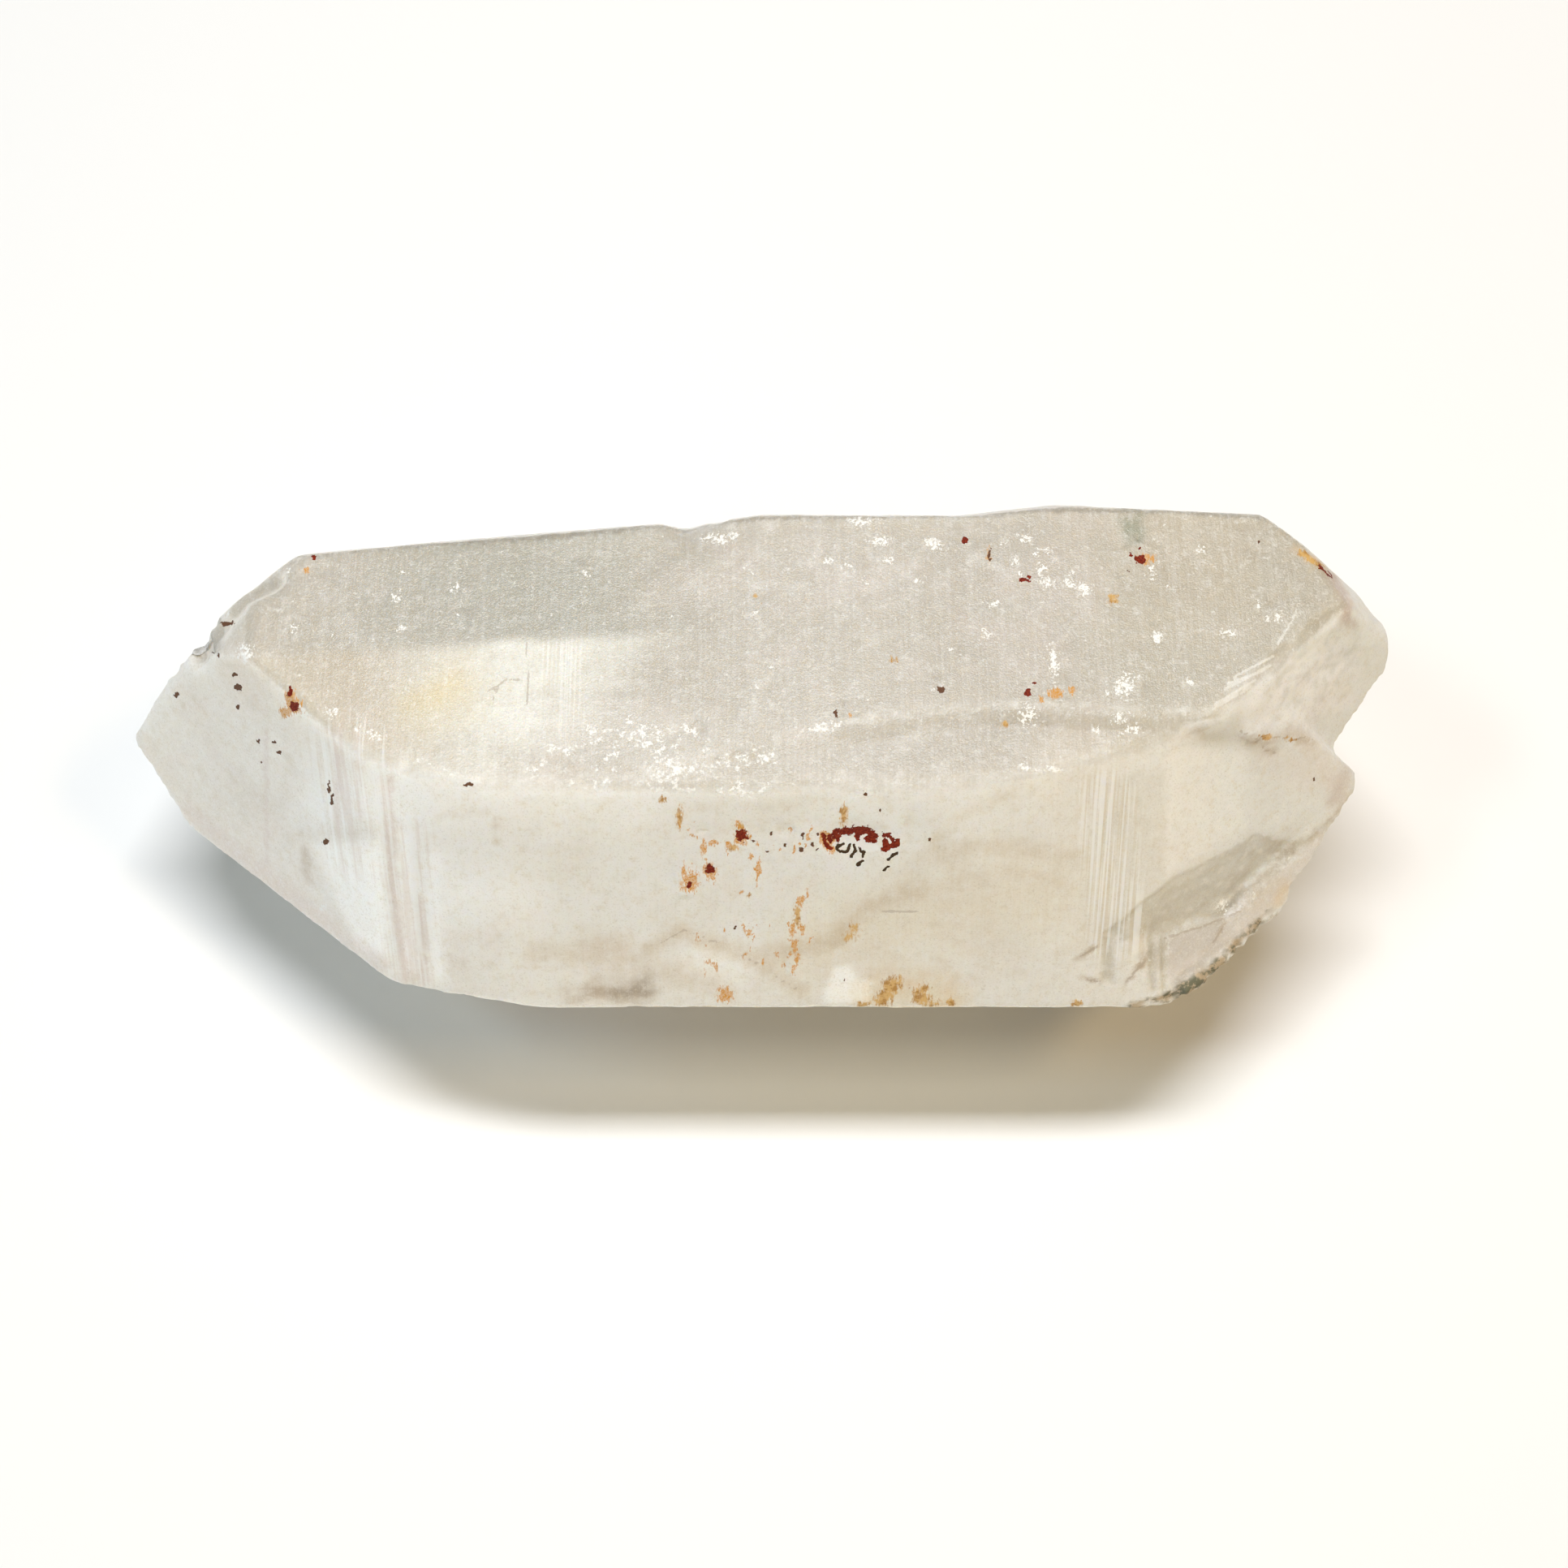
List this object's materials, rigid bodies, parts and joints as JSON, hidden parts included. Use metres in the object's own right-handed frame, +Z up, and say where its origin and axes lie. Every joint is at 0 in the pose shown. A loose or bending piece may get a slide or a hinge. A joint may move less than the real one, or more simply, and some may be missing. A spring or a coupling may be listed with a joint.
{
  "type": "quartz crystal pair",
  "caption": "Loose milky quartz specimen: two six-sided prismatic crystals grown side by side, pointed at both ends, resting on one flat prism face.",
  "frame": {"origin": "under the middle of the specimen's box, on the plane of the prism face that it rests on", "axes": "+X along the crystals' long axes toward the end where the two points are parted by a notch, +Y toward the rear crystal, +Z up from the resting face"},
  "size_m": [0.144, 0.0628, 0.054],
  "materials": {
    "milky_quartz": "natural milky quartz, semi-translucent, satin etched faces with iron stains, veils and a clearer window at one end"
  },
  "bodies": {
    "root": {"quartz_crystal": "milky_quartz"}
  },
  "joints": []
}
